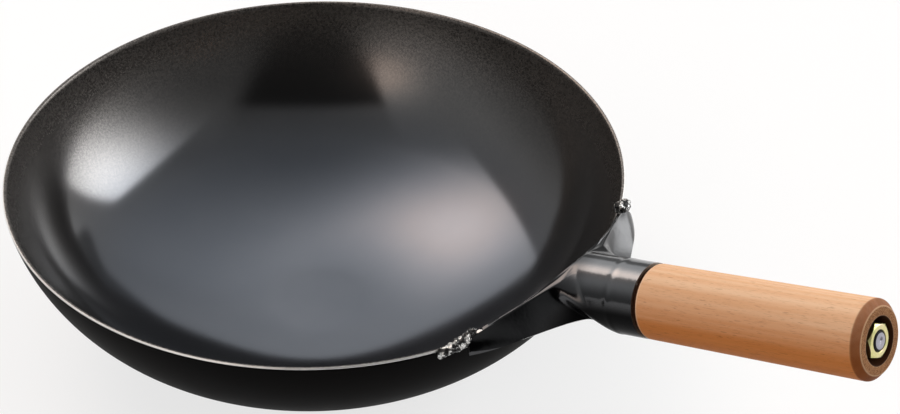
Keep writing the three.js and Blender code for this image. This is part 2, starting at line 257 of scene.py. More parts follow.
def make_bowl():
    shape = Shape("pressed_bowl", {
        "Rim radius": RIM_RADIUS,
        "Depth": BOWL_DEPTH,
        "Base radius": BASE_RADIUS,
        "Floor radius": FLOOR_RADIUS,
        "Knee reach": KNEE_REACH,
        "Knee height": KNEE_HEIGHT,
        "Knee slope": KNEE_SLOPE,
        "Wall": BOWL_WALL,
        "Rim bevel": RIM_BEVEL,
        "Rim bevel width": RIM_BEVEL_WIDTH,
        "Rim rounding": RIM_ROUNDING,
        "Sides": 256,
        "Face rows": 96,
        "Rim rows": 10,
    })
    size = shape.size
    knee_sin = shape.sin(size["Knee slope"])
    knee_cos = shape.cos(size["Knee slope"])
    position = shape.add("GeometryNodeInputPosition")
    across, along, _ = shape.parts(position)
    turn = (across + 0.5) * -math.tau
    share = along + 0.5

    def arc_from_knee(knee, end, way):
        chord = shape.maths("ARCTANGENT", (end[1] - knee[1]) / (end[0] - knee[0]))
        end_slope = 2 * chord - size["Knee slope"]
        radius = (end[0] - knee[0]) / (shape.sin(end_slope) - knee_sin)
        slope = size["Knee slope"] + (end_slope - size["Knee slope"]) * way
        return (shape.sin(slope) - knee_sin) * radius, (knee_cos - shape.cos(slope)) * radius

    def turned(rows, radius, height):
        sockets = {"Size X": 1, "Size Y": 1, "Vertices X": size["Sides"] + 1, "Vertices Y": rows + 1}
        grid = shape.add("GeometryNodeMeshGrid", sockets=sockets)
        place = shape.joined(radius * shape.cos(turn), radius * shape.sin(turn), height)
        return shape.add("GeometryNodeSetPosition", sockets={"Geometry": grid, "Position": place})

    def face(flat, flat_height, knee, rim, out):
        flat_share, bottom_share = 0.12, 0.46
        down = 1 - shape.within((out - flat_share) / bottom_share)
        up = shape.within((out - flat_share - bottom_share) / (1 - flat_share - bottom_share))
        bottom_radius, bottom_height = arc_from_knee(knee, (flat, flat_height), down)
        wall_radius, wall_height = arc_from_knee(knee, rim, up)
        radius = knee[0] + bottom_radius + wall_radius - flat * shape.within(1 - out / flat_share)
        return turned(size["Face rows"], radius, knee[1] + bottom_height + wall_height)

    outer_knee = size["Knee reach"] * size["Rim radius"], size["Knee height"] * size["Depth"]
    inner_knee = outer_knee[0] - size["Wall"] * knee_sin, outer_knee[1] + size["Wall"] * knee_cos
    inner_rim = size["Rim radius"] - size["Wall"], size["Depth"] - size["Rim rounding"]
    outer_rim = size["Rim radius"], size["Depth"] - size["Rim bevel"]
    inside = face(size["Floor radius"], size["Wall"], inner_knee, inner_rim, share)
    outside = face(size["Base radius"], 0.0, outer_knee, outer_rim, 1 - share)
    crest = size["Rim radius"] - size["Rim bevel width"]
    land = inner_rim[0] + size["Wall"] * share
    inward = shape.within((crest - land) / (crest - inner_rim[0])) ** 2
    outward = shape.within((land - crest) / size["Rim bevel width"]) ** 1.25
    rim = turned(size["Rim rows"], land, size["Depth"] - size["Rim rounding"] * inward - size["Rim bevel"] * outward)

    join = shape.tree.nodes.new("GeometryNodeJoinGeometry")
    for sheet in (outside, rim, inside):
        shape.tree.links.new(sheet.socket, join.inputs[0])
    whole = shape.add("GeometryNodeMergeByDistance", sockets={0: Value(shape, join.outputs[0]), "Distance": 1e-6})
    whole = shape.add("GeometryNodeSetShadeSmooth", sockets={0: whole})
    mouth = shape.joined(0, 0, size["Depth"])
    from_mouth = shape.add("ShaderNodeVectorMath", {"operation": "SUBTRACT"}, {0: position, 1: mouth})
    normal = shape.add("GeometryNodeInputNormal", output="Normal")
    facing = shape.add("ShaderNodeVectorMath", {"operation": "DOT_PRODUCT"}, {0: from_mouth, 1: normal}, "Value")
    here_x, here_y, height = shape.parts(position)
    radius_here = shape.maths("SQRT", here_x * here_x + here_y * here_y)
    faces_out = shape.maths("GREATER_THAN", facing, 0)
    on_rim = shape.maths("GREATER_THAN", radius_here, crest) * shape.maths("GREATER_THAN", height, outer_rim[1])
    dressed = shape.dressed(whole, (blued_inside(), None), (fired_outside(), faces_out), (ground_rim(), on_rim))
    return shape.make("pan_bowl_iron", dressed)


bowl = make_bowl()
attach(bowl, "pan")
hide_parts("pan_bowl")

# Socket: one sheet of steel rolled into a tube, with its seam underneath. Towards the bowl the seam opens, and each
# half is hammered out into a flat wing that narrows to a tip on the rim, under a ridge that runs on from the top of
# the tube. It is blued and glossy, bare along its cut edge, with a ring where the disc sits. Under the tube it is
# painted dull black as shade, and on top of the tube it is painted brighter as a sheen.
HANDLE_RISE = math.radians(16.5)
HANDLE_START = Vector((RIM_RADIUS, 0, BOWL_DEPTH))
AXIS = np.array((math.cos(HANDLE_RISE), 0, math.sin(HANDLE_RISE)))
AXIS_UP = np.array((-math.sin(HANDLE_RISE), 0, math.cos(HANDLE_RISE)))
ACROSS = np.array((0.0, 1.0, 0.0))
SOCKET_RADIUS = 0.0155
SHEET = 0.0015
SOCKET_END = 0.0438
SEAM_WIDTH = 0.0012
TOP_FLARE_START = 0.012
SEAM_FLARE_START = 0.031
SEAM_BAND = 0.8
MOUTH_STANDOFF = 0.005
ARCH_CROWN_WIDTH = 0.006
ARCH_FOOT = (0.016, 0.0128)
WING_HALF_SPAN = 0.057
WING_TIP_HEIGHT = 0.003
WING_TIP_DEPTH = 0.006
WING_CORNER_HEIGHT = 0.0048
TIP_ROUND = 0.011
TIP_STANDOFF, TIP_STANDOFF_FROM = 0.0034, 0.86
TIP_FROM = 0.7
RIDGE_SHARE = 0.18
RIDGE_END = 0.90
RIDGE_LEAVES, RIDGE_ARRIVES = 0.32, 0.15
LIP_OUT, LIP_DROP = 0.0008, 0.0007
LIP_BAND = (0.06, 0.40)
LIP_FROM, LIP_PULL, LIP_BEHIND = 0.30, 0.9, 0.62
FLAT_FROM = 0.42
DENT_DEPTH, DENT_PLACE, DENT_WIDTH, DENT_FADE = 0.06, 0.34, 0.12, 0.2
EASED_BEND = 0.24
RING_PLACE, RING_WIDTH, RING_HEIGHT = 0.0312, 0.0013, 0.00014
RING_BAND = (0.026, 0.029)
EDGE_BEVEL = 0.0003
GAP = 0.0003
SLOPE_STEP = 1e-3
TUBE_ROWS, WING_ROWS = 40, 80
HALF_COLUMNS = 150


def smooth(value, low, high):
    share = np.clip((value - low) / (high - low), 0, 1)
    return share * share * (3 - 2 * share)


def unit(vectors):
    return vectors / np.linalg.norm(vectors, axis=-1, keepdims=True)


def bezier(points, share):
    """The curve of some control points, each an array of places, at shares between 0 and 1."""
    points = list(points)
    while len(points) > 1:
        points = [first * (1 - share) + second * share for first, second in zip(points, points[1:])]
    return points[0]


def mouth_edge(share):
    """How far out and how high the edge that faces the bowl runs, from the crown of the arch to the wing's tip."""
    top = (SOCKET_RADIUS - SHEET / 2 + MOUTH_STANDOFF * math.sin(HANDLE_RISE)) / math.cos(HANDLE_RISE)
    corner = (WING_HALF_SPAN - TIP_ROUND, WING_CORNER_HEIGHT)
    arch = [(0, top), (ARCH_CROWN_WIDTH, top), ARCH_FOOT, corner]
    tip = [corner, (WING_HALF_SPAN, WING_TIP_HEIGHT), (WING_HALF_SPAN, WING_TIP_HEIGHT - WING_TIP_DEPTH)]
    steps = np.linspace(0, 1, 201)[:, None]
    runs = [bezier([np.array(point) for point in curve], steps) for curve in (arch, tip)]
    path = np.concatenate([runs[0], runs[1][1:]])
    length = np.concatenate([[0], np.cumsum(np.linalg.norm(np.diff(path, axis=0), axis=1))])
    place = share * length[-1]
    return np.interp(place, length, path[:, 0]), np.interp(place, length, path[:, 1]), top


def mouth_place(share, side):
    """A point on the edge that faces the bowl, measured from the point of the rim on the handle line."""
    out, height, top = mouth_edge(share)
    lift = np.maximum(0, (height - WING_TIP_HEIGHT) / (top - WING_TIP_HEIGHT))
    rim = RIM_RADIUS + GAP + SHEET / 2 + TIP_STANDOFF * smooth(share, TIP_STANDOFF_FROM, 1)
    x = np.sqrt(rim ** 2 - out ** 2) - RIM_RADIUS + lift ** 2 * MOUTH_STANDOFF
    return np.concatenate([x, side * out, height], axis=1)


def lip_place(share, side):
    """A point just outside and below that edge, where the sheet is rolled over into the flat of the wing."""
    place = mouth_place(share, side)
    outward = unit((place + np.array((RIM_RADIUS, 0, 0))) * np.array((1, 1, 0)))
    return place + outward * LIP_OUT - np.array((0, 0, LIP_DROP))


def tube_place(share, side):
    """Where the sheet leaves the round tube, from the top at share 0 to the seam at share 1, and the spoke there."""
    middle = SOCKET_RADIUS - SHEET / 2
    turn = side * share * (math.pi - SEAM_WIDTH / 2 / middle)
    spoke = AXIS_UP * middle * np.cos(turn) + ACROSS * middle * np.sin(turn)
    leaves_at = TOP_FLARE_START + (SEAM_FLARE_START - TOP_FLARE_START) * smooth(share, 0, SEAM_BAND)
    return AXIS * leaves_at + spoke, spoke, leaves_at


def ridge_line(edge_share, tube_share, side, way):
    """A line of the ridge, from the top of the tube to the edge that faces the bowl, which it then keeps close to."""
    start, end = tube_place(tube_share, side)[0], mouth_place(edge_share, side)
    run = np.linalg.norm(end - start, axis=1, keepdims=True)
    along_lip = smooth(edge_share, *LIP_BAND)
    lip_start = lip_place(np.full_like(edge_share, LIP_FROM), side)
    straight = start - AXIS * RIDGE_LEAVES * run, end + AXIS * RIDGE_ARRIVES * run
    hugging = start * (1 - LIP_PULL) + lip_start * LIP_PULL, lip_place(edge_share * LIP_BEHIND, side)
    first, second = (plain * (1 - along_lip) + close * along_lip for plain, close in zip(straight, hugging))
    return bezier([start, first, second, end], way)


def lower_edge(side, way):
    """The edge of the opened seam, from the bottom of the tube to the tip of the wing."""
    one = np.ones_like(side)
    start, end = tube_place(one, side)[0], mouth_place(one, side)
    run = np.linalg.norm(end - start, axis=1, keepdims=True)
    spread, lift = 0.25, 0.5
    opening = unit(np.concatenate([-one, side * spread, one * lift], axis=1))
    turn = side * math.asin(WING_HALF_SPAN / RIM_RADIUS)
    press, dip = 0.35, 0.12
    to_tip = [-side * np.sin(turn) - press * np.cos(turn), side * np.cos(turn) - press * np.sin(turn), -dip * one]
    to_tip = unit(np.concatenate(to_tip, axis=1))
    leaves, arrives = 0.30, 0.42
    return bezier([start, start + opening * leaves * run, end - to_tip * arrives * run, end], way)


def socket_points(column, side, along):
    """Points in the middle of the sheet. column runs from the crown to the seam, along from the tube's open end."""
    column, side, along = (np.asarray(values, float)[:, None] for values in (column, side, along))
    one = np.ones_like(column)
    in_ridge = np.clip(column * 2, 0, 1)
    in_face = np.clip(column * 2 - 1, 0, 1)
    ridge_share = RIDGE_SHARE * (1 - (1 - in_ridge) ** 3)
    face_share = RIDGE_SHARE + (1 - RIDGE_SHARE) * in_face
    tube_part = TUBE_ROWS / (TUBE_ROWS + WING_ROWS)
    way = np.clip((along - tube_part) / (1 - tube_part), 0, 1)
    top_start, seam_start = tube_place(one * RIDGE_SHARE, side)[0], tube_place(one, side)[0]
    start, drop = tube_place(face_share, side)[0], seam_start - top_start
    down = np.sum((start - top_start) * drop, axis=1, keepdims=True) / np.sum(drop * drop, axis=1, keepdims=True)
    bulge = start - top_start - drop * down
    top_end, seam_end = mouth_place(one * RIDGE_END, side), mouth_place(one, side)
    end = mouth_place(RIDGE_END + (1 - RIDGE_END) * in_face, side)
    tip = end - top_end * (1 - down) - seam_end * down

    def wing_at(way):
        face = ridge_line(one * RIDGE_END, one * RIDGE_SHARE, side, way) * (1 - down) + lower_edge(side, way) * down
        dent = DENT_DEPTH * np.exp(-((way - DENT_PLACE) / DENT_WIDTH) ** 2) * smooth(way, 0, DENT_FADE)
        face = face + bulge * (1 - smooth(way, 0, FLAT_FROM) - dent) + tip * smooth(way, TIP_FROM, 1)
        return np.where(column < 0.5, ridge_line(RIDGE_END * in_ridge, ridge_share, side, way), face)

    slope = (wing_at(one * SLOPE_STEP) - wing_at(np.zeros_like(one))) / SLOPE_STEP
    straight_on = -AXIS * np.linalg.norm(slope, axis=1, keepdims=True)
    wing = wing_at(way) + (straight_on - slope) * way * np.clip(1 - way / EASED_BEND, 0, 1) ** 2
    _, spoke, leaves_at = tube_place(np.where(column < 0.5, ridge_share, face_share), side)
    tube = AXIS * (SOCKET_END + (leaves_at - SOCKET_END) * np.clip(along / tube_part, 0, 1)) + spoke
    return np.where(along < tube_part, tube, wing) + np.array(HANDLE_START)


def new_piece(name, vertices, faces, *finishes):
    mesh = bpy.data.meshes.new(name)
    mesh.from_pydata([tuple(vertex) for vertex in vertices], [], faces)
    for finish in finishes:
        mesh.materials.append(finish.material)
    thing = bpy.data.objects.new(name, mesh)
    bpy.context.collection.objects.link(thing)
    return thing


def closed(thing, sharp=35):
    """Merges the seams and poles of a piece, turns its faces outwards and shades it smooth between its edges."""
    work = bmesh.new()
    work.from_mesh(thing.data)
    bmesh.ops.remove_doubles(work, verts=work.verts, dist=1e-6)
    bmesh.ops.recalc_face_normals(work, faces=work.faces)
    work.to_mesh(thing.data)
    work.free()
    thing.data.shade_smooth()
    thing.data.set_sharp_from_angle(angle=math.radians(sharp))
    return thing


def settle(thing):
    """Applies a piece's modifiers to its mesh."""
    evaluated = thing.evaluated_get(bpy.context.evaluated_depsgraph_get())
    mesh = bpy.data.meshes.new_from_object(evaluated)
    thing.modifiers.clear()
    thing.data = mesh
    return thing


def on_handle_line(finish):
    """Where a point lies along the handle line from the rim, and across and above that line."""
    sockets = {"Vector": finish.place, "Location": HANDLE_START, "Rotation": (0, -HANDLE_RISE, 0)}
    return finish.add("ShaderNodeMapping", {"vector_type": "TEXTURE"}, sockets)


def glossy_black():
    steel = Finish("glossy_black_sheet", IOR=1.1)
    along, _, up = steel.parts(on_handle_line(steel))
    smear = steel.noise(steel.place, 70, 4, 0.6)
    grain = steel.noise(steel.place, 700, 3, 0.6)
    # Painted shade: under the tube the sheet is made dull black and not metallic.
    painted_shade_under = (1 - steel.rise(up, 0.0005, 0.0065)) * steel.rise(along, 0.006, 0.016)
    side = steel.mixed(smear, (0.052, 0.053, 0.055), (0.070, 0.071, 0.074))
    # Painted sheen: the top of the tube gets a brighter, more reflective colour than its sides.
    painted_sheen_top = steel.mixed(smear, (0.130, 0.134, 0.140), (0.160, 0.164, 0.170))
    on_top = steel.rise(up, 0.006, 0.012) * steel.rise(along, 0.010, 0.022)
    colour = steel.mixed(on_top, side, painted_sheen_top)
    steel.vary("Base Color", steel.mixed(painted_shade_under, colour, (0.004, 0.004, 0.0043)))
    steel.vary("Metallic", 1 - painted_shade_under)
    steel.vary("Roughness", 0.09 + smear * 0.10)
    steel.raise_by(grain * 0.25 + smear, 0.00008)
    return steel


def cut_edge():
    steel = Finish("cut_sheet_edge", Metallic=1.0)
    marks = steel.noise(steel.place, 800, 3, 0.6)
    steel.vary("Base Color", steel.mixed(marks, (0.16, 0.16, 0.16), (0.55, 0.55, 0.54)))
    steel.vary("Roughness", 0.25 + marks * 0.2)
    return steel


def make_socket():
    columns, rows = 2 * HALF_COLUMNS, TUBE_ROWS + WING_ROWS
    u, v = np.meshgrid(np.linspace(-1, 1, columns + 1), np.linspace(0, 1, rows + 1), indexing="ij")
    u, v = u.ravel(), v.ravel()

    def at(u, v):
        return socket_points(np.abs(u), np.where(u < 0, -1.0, 1.0), v)

    across = at(np.minimum(u + SLOPE_STEP, 1), v) - at(np.maximum(u - SLOPE_STEP, -1), v)
    along = at(u, np.minimum(v + SLOPE_STEP, 1)) - at(u, np.maximum(v - SLOPE_STEP, 0))
    normal = unit(np.cross(across, along))
    middle = at(u, v)
    place = (middle - np.array(HANDLE_START)) @ AXIS
    ring = RING_HEIGHT * np.exp(-((place - RING_PLACE) / RING_WIDTH) ** 2) * smooth(place, *RING_BAND)
    outer = middle + normal * (SHEET / 2 + ring)[:, None]
    inner = middle - normal * (SHEET / 2)
    vertices = np.concatenate([outer, inner])
    back = len(outer)

    def index(i, j):
        return i * (rows + 1) + j

    faces, edges = [], []
    for i in range(columns):
        for j in range(rows):
            patch = [index(i, j), index(i, j + 1), index(i + 1, j + 1), index(i + 1, j)]
            faces.append(patch)
            faces.append([back + corner for corner in reversed(patch)])
    for i in range(columns):
        for j in (0, rows):
            edges.append([index(i, j), index(i + 1, j), back + index(i + 1, j), back + index(i, j)])
    for j in range(rows):
        for i in (0, columns):
            edges.append([index(i, j), back + index(i, j), back + index(i, j + 1), index(i, j + 1)])
    piece = new_piece("socket_sheet", vertices, faces + edges, glossy_black(), cut_edge())
    for polygon in list(piece.data.polygons)[len(faces):]:
        polygon.material_index = 1
    closed(piece, 50)
    bevel = piece.modifiers.new("eased_edges", "BEVEL")
    bevel.width = EDGE_BEVEL
    bevel.segments = 2
    bevel.limit_method = "ANGLE"
    bevel.angle_limit = math.radians(50)
    return closed(settle(piece), 60)


socket = make_socket()
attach(socket, "pan")
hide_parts("handle_socket")

# Welds: a crusty bead at the tip of each wing, laid in uneven drops from the top of the wing down to the rim. They
# are left as welded, bright silver with dark pits.
WELD_VOXEL = 0.00022
MELT_SHARE, MELT_STEPS = 0.6, 34
CRUST_SCALE, CRUST_LAYERS = 330, 4
CRUST_HEIGHT, CRUST_SINK = 0.0015, 0.0005


def weld_metal():
    steel = Finish("weld_metal", Metallic=1.0)
    crust = steel.noise(steel.place, 900, 4, 0.65)
    scale = steel.noise(steel.place, 380, 3, 0.6)
    dark = steel.rise(scale, 0.44, 0.54)
    bright = steel.mixed(crust, (0.45, 0.45, 0.44), (0.95, 0.95, 0.93))
    steel.vary("Base Color", steel.mixed(dark, bright, (0.03, 0.03, 0.03)))
    steel.vary("Roughness", 0.14 + crust * 0.20)
    steel.raise_by(crust + scale * 0.6, 0.00035)
    return steel


def make_weld(name, node, finish):
    bead = bpy.data.objects.new(name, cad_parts[node].data.copy())
    bpy.context.collection.objects.link(bead)
    bead.data.materials.clear()
    bead.data.materials.append(finish.material)
    closed(bead)
    remesh = bead.modifiers.new("fused", "REMESH")
    remesh.mode = "VOXEL"
    remesh.voxel_size = WELD_VOXEL
    melt = bead.modifiers.new("melted", "SMOOTH")
    melt.factor = MELT_SHARE
    melt.iterations = MELT_STEPS
    settle(bead)
    for vertex in bead.data.vertices:
        crust = noise.turbulence(vertex.co * CRUST_SCALE, CRUST_LAYERS, True)
        vertex.co += vertex.normal * (crust * CRUST_HEIGHT - CRUST_SINK)
    bead.data.shade_smooth()
    return bead


weld_finish = weld_metal()
for name, node in (("near_weld_bead", "near_weld"), ("far_weld_bead", "far_weld")):
    weld = make_weld(name, node, weld_finish)
    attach(weld, "pan")
    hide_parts(node)

# Anchor disc: a steel disc welded inside the socket by a half ring of bead. The bolt's head pulls on it. Both are
# hidden deep in the tube, so their solids are kept and get the finishes of plain steel and of weld metal.


def plain_steel():
    steel = Finish("plain_steel", Metallic=1.0)
    marks = steel.noise(steel.place, 500, 4, 0.6)
    cloud = steel.noise(steel.place, 90, 3, 0.6)
    steel.vary("Base Color", steel.mixed(cloud, (0.24, 0.245, 0.27), (0.46, 0.46, 0.49)))
    steel.vary("Roughness", 0.28 + marks * 0.2)
    steel.raise_by(marks, 0.00004)
    return steel


steel_finish = plain_steel()
for node, finish in (("anchor_disc", steel_finish), ("anchor_weld", weld_finish)):
    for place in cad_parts[node].material_slots:
        place.link = "OBJECT"
        place.material = finish.material

# Tie bolt: a long hexagon-headed steel bolt that runs from the anchor disc through the middle of the handle. Only
# its cropped end shows, grey, with a small crater where the bar was parted.
ANCHOR_START = 0.0305
SHOULDER_GAP = 0.0018
GRIP_LENGTH = 0.1034
SHOULDER = SOCKET_END + SHOULDER_GAP
GRIP_END = SHOULDER + GRIP_LENGTH
BOLT_RADIUS = 0.004
BOLT_PROUD = 0.0004
BOLT_CHAMFER = 0.0007
CRATER_RADIUS, CRATER_DEPTH = 0.0011, 0.0004
CRATER_ACROSS, CRATER_UP = 0.0007, 0.0006
HEX_FLAT = 0.0065
HEX_FACE = HEX_FLAT * 0.95
HEX_CHAMFER = math.radians(30)
HEAD_HEIGHT = 0.0053
EASE_STEPS = 4


def eased(corners):
    """A profile of points (place, radius) from corners that each carry how far they are eased."""
    points = []
    for i, (place, radius, ease) in enumerate(corners):
        here = Vector((place, radius))
        if ease == 0:
            points.append(here)
            continue
        before = Vector(corners[i - 1][:2]) - here
        after = Vector(corners[(i + 1) % len(corners)][:2]) - here
        curve = [here + before.normalized() * ease, here, here + after.normalized() * ease]
        points += [bezier(curve, step / EASE_STEPS) for step in range(EASE_STEPS + 1)]
    return points


def strung(name, profile_at, sides, *finishes):
    """A piece on the handle line, turned from a profile that may change with the angle from the top."""
    rings = []
    for side in range(sides):
        angle = math.tau * side / sides
        for place, radius in profile_at(angle):
            spoke = AXIS_UP * math.cos(angle) + ACROSS * math.sin(angle)
            rings.append(np.array(HANDLE_START) + AXIS * place + spoke * radius)
    rows = len(rings) // sides
    faces = []
    for side in range(sides):
        here, there = side * rows, (side + 1) % sides * rows
        for row in range(rows):
            after = (row + 1) % rows
            faces.append([here + row, there + row, there + after, here + after])
    return closed(new_piece(name, rings, faces, *finishes))


def hexagon(angle):
    """How far out the side of a hexagon is at an angle, and how far its chamfer comes down there."""
    corner = HEX_FLAT / math.cos((angle % (math.pi / 3)) - math.pi / 6)
    return corner, (corner - HEX_FACE) * math.tan(HEX_CHAMFER)


def cropped_bar():
    steel = Finish("cropped_bar", Metallic=1.0)
    across, up = steel.parts(on_handle_line(steel))[1:]
    from_line = steel.maths("SQRT", across * across + up * up)
    marks = steel.noise(steel.place, 700, 4, 0.65)
    face = steel.mixed(marks, (0.26, 0.255, 0.29), (0.50, 0.49, 0.55))
    off_centre = steel.maths("SQRT", (across - CRATER_ACROSS) ** 2 + (up - CRATER_UP) ** 2)
    # Painted shade: the crater and the ring of the bolt's chamfer and sides are painted near black.
    crater = 1 - steel.rise(off_centre, 0.0005, CRATER_RADIUS)
    rim_shade = steel.rise(from_line, BOLT_RADIUS - 0.0009, BOLT_RADIUS - 0.0006)
    dark = steel.within(rim_shade * 0.94 + crater * 0.55)
    steel.vary("Base Color", steel.mixed(dark, face, (0.012, 0.011, 0.010)))
    steel.vary("Roughness", 0.30 + marks * 0.2 + rim_shade * 0.3)
    steel.raise_by(marks * 0.3 - crater * 3, 0.00010)
    return steel


def make_bolt():
    head_end = ANCHOR_START - GAP
    bolt_end = GRIP_END + BOLT_PROUD

    def profile(angle):
        corner, slope = hexagon(angle)
        head = head_end - HEAD_HEIGHT
        return eased([
            (head, 0, 0), (head, HEX_FACE, 0), (head + slope, corner, 0), (head_end, corner, 0),
            (head_end, BOLT_RADIUS, 0.0003), (bolt_end - BOLT_CHAMFER, BOLT_RADIUS, 0.0002),
            (bolt_end, BOLT_RADIUS - BOLT_CHAMFER, 0.0002), (bolt_end, CRATER_RADIUS, 0.0002),
            (bolt_end - CRATER_DEPTH, 0, 0),
        ])

    return strung("tie_bolt_turned", profile, 72, cropped_bar())


bolt = make_bolt()
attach(bolt, "pan")
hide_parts("tie_bolt")

# Handle: turned from one piece of beech, with a tenon that goes into the socket. It swells a little towards its end,
# whose edge is chamfered and darkened, and a deep counterbore in the end holds the nut. The wood is painted paler
# on its top side as a painted sheen, and redder and darker below as painted shade. The inside of the counterbore
# and the tenon in the gap at the shoulder are painted dark as shade, and a pale band just past the shoulder is a
# painted highlight.
DISC_THICKNESS = 0.003
TENON_START = ANCHOR_START + DISC_THICKNESS + GAP
BORE_RADIUS = SOCKET_RADIUS - SHEET - GAP
HOLE_RADIUS = BOLT_RADIUS + GAP
GRIP_START_RADIUS = 0.0154
GRIP_END_RADIUS = 0.016
END_CHAMFER = 0.0026
NUT_HEIGHT = 0.0065
WASHER_THICKNESS = 0.0016
COUNTERBORE_FLOOR = GRIP_END - NUT_HEIGHT - GAP - WASHER_THICKNESS - GAP
COUNTERBORE_RADIUS = 0.0096
HEART_ACROSS, HEART_UP = -0.021, 0.034
SHADE_BELOW, SHEEN_ABOVE = -0.004, 0.0175


def turned_beech():
    wood = Finish("turned_beech", Specular_IOR_Level=0.1)
    line = on_handle_line(wood)
    along, across, up = wood.parts(line)
    fibre = wood.noise(wood.joined(along * 0.045, across, up), 900, 3, 0.6)
    streak = wood.noise(wood.joined(along * 0.03, across, up), 210, 3, 0.55)
    ring = wood.maths("SQRT", (across - HEART_ACROSS) ** 2 + (up - HEART_UP) ** 2)
    ring_wave = 0.5 + 0.5 * wood.sin(ring * 2600 + streak * 5)
    fine_fleck = wood.rise(wood.noise(wood.joined(along * 0.07, across, up), 3400, 2, 0.5), 0.56, 0.70)
    bold_fleck = wood.rise(wood.noise(wood.joined(along * 0.10, across, up), 1900, 2, 0.5), 0.64, 0.74)
    fleck = wood.maths("MAXIMUM", fine_fleck * 0.55, bold_fleck)
    pale = wood.mixed(streak, (0.70, 0.440, 0.255), (0.88, 0.630, 0.430))
    red = wood.mixed(streak, (0.64, 0.195, 0.042), (0.80, 0.290, 0.082))
    # Painted sheen and shade: the wood is paler on its top side and redder and darker on its lower side.
    tan = wood.mixed(wood.rise(up + (streak - 0.5) * 0.008, SHADE_BELOW, SHEEN_ABOVE), red, pale)
    tan = wood.mixed(ring_wave * 0.22, tan, (0.64, 0.230, 0.055))
    tan = wood.mixed(fibre * 0.20, tan, (0.66, 0.250, 0.070))
    tan = wood.mixed(fleck * 0.45, tan, (0.24, 0.065, 0.016))
    from_line = wood.maths("SQRT", across * across + up * up)
    chamfer_line = GRIP_END + GRIP_END_RADIUS - END_CHAMFER
    on_chamfer = wood.rise(along + from_line, chamfer_line - 0.0011, chamfer_line - 0.0002)
    on_end = wood.rise(along, GRIP_END - 0.0004, GRIP_END - 0.0001)
    # Painted shade: the wood inside the counterbore is painted dark.
    bore_shade = 1 - wood.rise(from_line, COUNTERBORE_RADIUS + 0.0001, COUNTERBORE_RADIUS + 0.0004)
    pores = wood.rise(wood.noise(line, 3400, 2, 0.6), 0.38, 0.62)
    end_grain = wood.mixed(pores, (0.19, 0.066, 0.021), (0.47, 0.240, 0.108))
    end_ring = GRIP_END_RADIUS - END_CHAMFER
    worn_bore = 1 - wood.rise(from_line, COUNTERBORE_RADIUS + 0.0001, COUNTERBORE_RADIUS + 0.0006)
    worn_edge = wood.rise(from_line, end_ring - 0.0006, end_ring) + worn_bore
    end_grain = wood.mixed(wood.within(worn_edge) * 0.6, end_grain, (0.74, 0.49, 0.30))
    darkened = wood.mixed(streak, (0.115, 0.025, 0.005), (0.27, 0.074, 0.018))
    tan = wood.mixed(on_chamfer * 0.80, tan, darkened)
    tan = wood.mixed(on_end, tan, end_grain)
    # Painted highlight: a pale band on the wood just past the shoulder.
    shoulder_highlight = 1 - wood.rise(along, SHOULDER + 0.0003, SHOULDER + 0.0012)
    tan = wood.mixed(shoulder_highlight * 0.6, tan, (0.90, 0.66, 0.46))
    # Painted shade: the counterbore's inside and the tenon in the gap at the shoulder are painted nearly black.
    gap_shade = 1 - wood.rise(along, SHOULDER - 0.0002, SHOULDER + 0.0001)
    tan = wood.mixed(wood.maths("MAXIMUM", bore_shade, gap_shade), tan, (0.055, 0.020, 0.009))
    wood.vary("Base Color", tan)
    wood.vary("Roughness", 0.50 + fibre * 0.14)
    wood.raise_by(fibre - fleck * 0.6 + on_end * pores * 0.8, 0.00006)
    return wood


def make_handle():
    profile = eased([
        (TENON_START, HOLE_RADIUS, 0), (TENON_START, BORE_RADIUS, 0.0006), (SHOULDER, BORE_RADIUS, 0),
        (SHOULDER, GRIP_START_RADIUS, 0.0008), (GRIP_END - END_CHAMFER, GRIP_END_RADIUS, 0.0006),
        (GRIP_END, GRIP_END_RADIUS - END_CHAMFER, 0.0004), (GRIP_END, COUNTERBORE_RADIUS, 0.0002),
        (COUNTERBORE_FLOOR, COUNTERBORE_RADIUS, 0), (COUNTERBORE_FLOOR, HOLE_RADIUS, 0),
    ])
    return strung("handle_beech", lambda angle: profile, 128, turned_beech())


handle = make_handle()
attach(handle, "pan")
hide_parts("wooden_handle")

# Washer: a plain ring stamped from steel sheet. It lies between the nut and the floor of the counterbore, where it
# spreads the nut's pull on the wood. It is loose on the bolt and slides out with the nut.
WASHER_RADIUS = 0.008
WASHER_START = COUNTERBORE_FLOOR + GAP
WASHER_END = WASHER_START + WASHER_THICKNESS


def make_washer():
    profile = eased([
        (WASHER_START, HOLE_RADIUS, 0.0002), (WASHER_START, WASHER_RADIUS, 0.0003),
        (WASHER_END, WASHER_RADIUS, 0.0001), (WASHER_END, HOLE_RADIUS, 0.0001),
    ])
    return strung("washer_stamped", lambda angle: profile, 72, steel_finish)


washer = make_washer()
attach(washer, "loose_washer")
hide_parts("washer")

# Nut: a hexagon nut of steel, plated with yellow-passivated zinc and screwed onto the bolt's end, deep in the
# counterbore. Both its faces are chamfered, and the hole is countersunk.
NUT_START = WASHER_END + GAP
NUT_CLEARANCE = 0.00005
NUT_BORE = BOLT_RADIUS + NUT_CLEARANCE
COUNTERSINK = 0.0005


